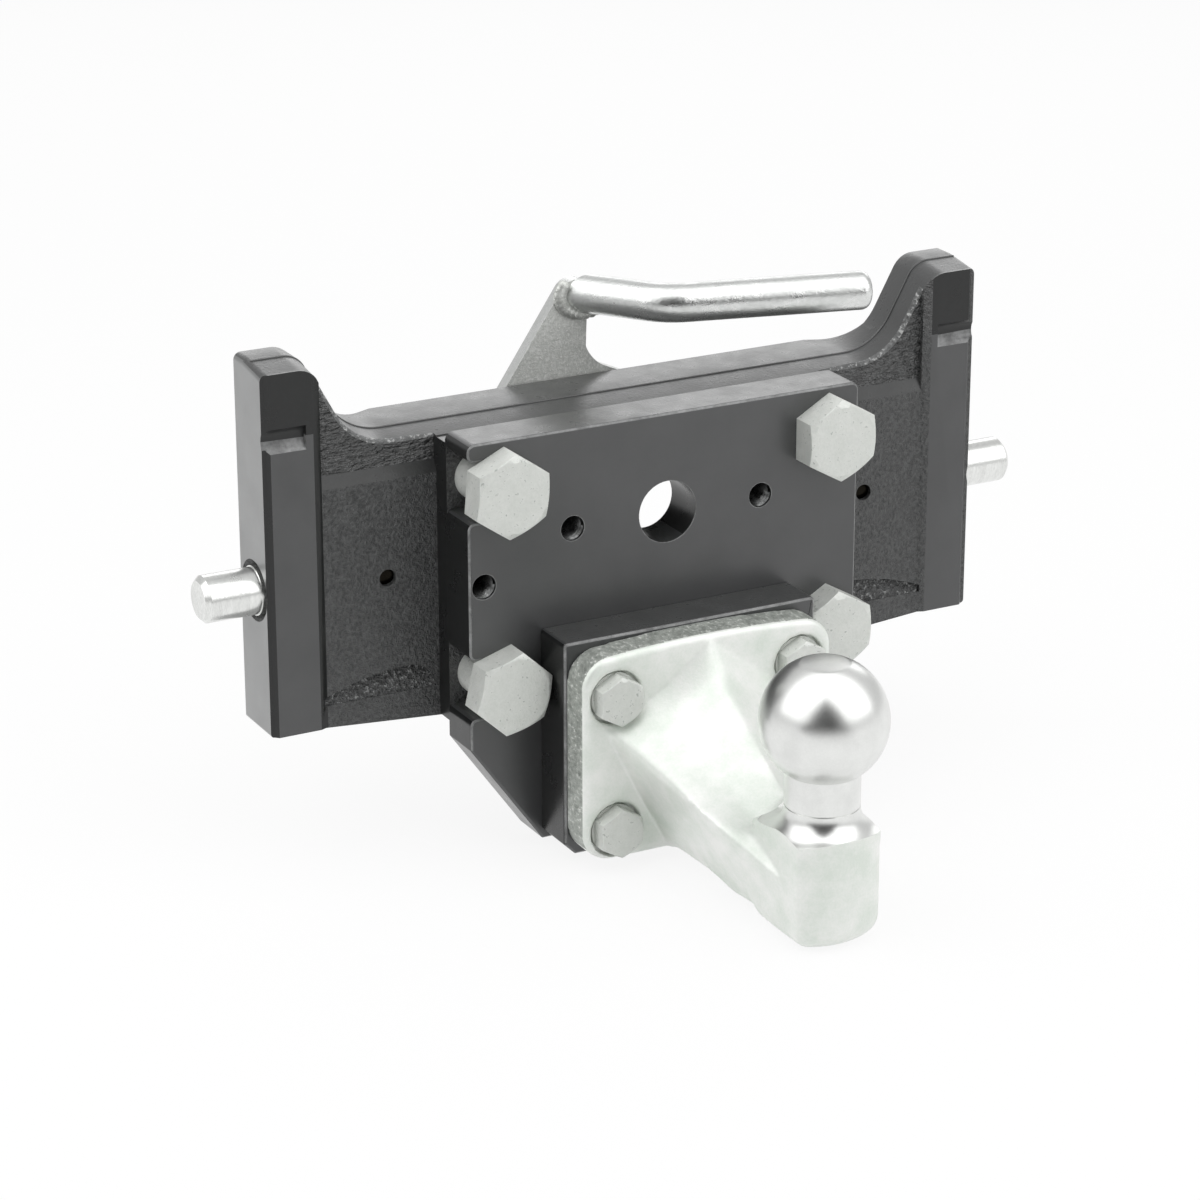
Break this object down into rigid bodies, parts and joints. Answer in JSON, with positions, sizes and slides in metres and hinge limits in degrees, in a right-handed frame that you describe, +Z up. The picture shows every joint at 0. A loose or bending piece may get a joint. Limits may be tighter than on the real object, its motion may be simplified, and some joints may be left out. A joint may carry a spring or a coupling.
{
  "type": "adjustable ball hitch",
  "caption": "Height-adjustable ball hitch: a cast slide with sprung locking pins and a lift handle, a bolted adapter plate, a spacer and a flanged tow ball.",
  "frame": {"origin": "centre of the adapter plate's bore, on the plate's front face", "axes": "+X across the hitch, +Y towards the tractor, +Z up; the tow ball stands on the -Y side"},
  "size_m": [0.369, 0.2287, 0.2145],
  "materials": {
    "cast_paint": "black paint on a sand casting",
    "plate_paint": "satin black paint on machined plate",
    "block_paint": "satin black paint on sawn and milled steel",
    "forged_zinc": "bright zinc plating on a forging",
    "bolt_zinc": "matt zinc flake coating",
    "plate_zinc": "zinc plating on rolled plate",
    "bar_zinc": "bright zinc plating on drawn bar",
    "weld_zinc": "plated weld bead",
    "pin_zinc": "bright zinc plating on turned steel",
    "spring_steel": "oiled spring steel",
    "roller_steel": "ground hardened steel",
    "bush_bronze": "turned bronze"
  },
  "bodies": {
    "carrier": {"slide_carrier": "cast_paint", "adapter_plate": "plate_paint", "spacer_block": "block_paint", "ball_flange": "forged_zinc", "flange_washers": "bolt_zinc", "flange_bolts": "bolt_zinc", "carrier_bolts": "bolt_zinc", "pivot_bolt": "bolt_zinc", "pivot_washer": "bolt_zinc", "spring_plug_left": "bolt_zinc", "spring_plug_right": "bolt_zinc", "pin_spring_left": "spring_steel", "pin_spring_right": "spring_steel"},
    "handle": {"cam_plate": "plate_zinc", "handle_bar": "bar_zinc", "handle_weld": "weld_zinc", "pivot_bush": "bush_bronze"},
    "left_pin": {"locking_pin_left": "pin_zinc", "follower_stud_left": "pin_zinc", "follower_roller_left": "roller_steel", "follower_clip_left": "spring_steel"},
    "right_pin": {"locking_pin_right": "pin_zinc", "follower_stud_right": "pin_zinc", "follower_roller_right": "roller_steel", "follower_clip_right": "spring_steel"}
  },
  "joints": [
    {"name": "handle_turn", "type": "hinge", "parent": "carrier", "child": "handle", "pos_m": [0, 0.0685, 0.022], "axis": [0, -1, 0], "range_deg": [0, 25]},
    {"name": "left_pin_slide", "type": "slide", "parent": "carrier", "child": "left_pin", "axis": [1, 0, 0], "range_m": [0, 0.024], "stiffness_N_per_m": 7000, "springref_m": -0.012, "deforming": ["pin_spring_left"]},
    {"name": "right_pin_slide", "type": "slide", "parent": "carrier", "child": "right_pin", "axis": [-1, 0, 0], "range_m": [0, 0.024], "stiffness_N_per_m": 7000, "springref_m": -0.012, "deforming": ["pin_spring_right"]}
  ],
  "couplings": [
    {"joint": "left_pin_slide", "follows": "handle_turn", "m_per_rad": 0.055},
    {"joint": "right_pin_slide", "follows": "handle_turn", "m_per_rad": 0.055}
  ]
}
